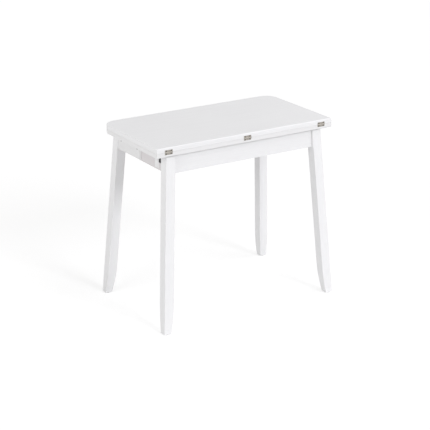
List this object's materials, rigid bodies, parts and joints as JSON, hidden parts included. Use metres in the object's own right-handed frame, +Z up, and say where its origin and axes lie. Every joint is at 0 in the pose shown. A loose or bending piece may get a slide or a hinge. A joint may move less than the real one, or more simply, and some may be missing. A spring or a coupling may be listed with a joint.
{
  "type": "folding dining table",
  "caption": "White dining table on splayed legs whose stacked two-leaf top slides back on end runners and folds open like a book to double its depth.",
  "frame": {"origin": "on the floor, under the middle of the table, with the top folded and slid home", "axes": "+X along the length of the top to the right, +Y to the back, away from the hinged edge, +Z up"},
  "size_m": [0.815, 0.52, 0.75],
  "materials": {
    "white_lacquer": "white satin lacquer over fine wood grain",
    "hinge_metal": "brushed nickel, warm grey",
    "dark_screw": "black oxide",
    "zinc_steel": "zinc plated",
    "black_rubber": "matt",
    "white_nylon": "natural nylon",
    "black_nylon": "black nylon",
    "sealed_board": "thin white sealer, less white than the lacquered boards",
    "grey_glide": "grey plastic"
  },
  "bodies": {
    "frame": {"back_right_leg": "white_lacquer", "back_left_leg": "white_lacquer", "front_right_leg": "white_lacquer", "front_left_leg": "white_lacquer", "back_apron": "white_lacquer", "front_apron": "white_lacquer", "right_end_apron": "sealed_board", "left_end_apron": "sealed_board", "right_guide_board": "sealed_board", "left_guide_board": "sealed_board", "right_guide_block": "white_lacquer", "left_guide_block": "white_lacquer", "right_outer_cleat": "white_lacquer", "left_outer_cleat": "white_lacquer", "back_right_corner_bracket": "zinc_steel", "back_left_corner_bracket": "zinc_steel", "front_right_corner_bracket": "zinc_steel", "front_left_corner_bracket": "zinc_steel", "hanger_bolts": "zinc_steel", "hanger_nuts": "zinc_steel", "bracket_screws": "zinc_steel", "cleat_screws": "dark_screw", "front_stop_bumpers": "black_rubber", "rear_stop_bumpers": "black_rubber", "top_glide_pads": "white_nylon", "floor_glides": "grey_glide"},
    "sliding_leaf": {"lower_leaf": "white_lacquer", "left_runner": "black_nylon", "right_runner": "black_nylon", "runner_screws": "zinc_steel", "hinge_pins": "hinge_metal", "hinge_lower_screws": "dark_screw", "left_hinge_lower_plate": "hinge_metal", "centre_hinge_lower_plate": "hinge_metal", "right_hinge_lower_plate": "hinge_metal"},
    "folding_leaf": {"upper_leaf": "white_lacquer", "hinge_upper_screws": "dark_screw", "left_hinge_upper_plate": "hinge_metal", "centre_hinge_upper_plate": "hinge_metal", "right_hinge_upper_plate": "hinge_metal"}
  },
  "joints": [
    {"name": "top_slide", "type": "slide", "parent": "frame", "child": "sliding_leaf", "axis": [0, 1, 0], "range_m": [0, 0.22]},
    {"name": "leaf_fold", "type": "hinge", "parent": "sliding_leaf", "child": "folding_leaf", "pos_m": [0, -0.22025, 0.7308], "axis": [1, 0, 0], "range_deg": [0, 180]}
  ]
}
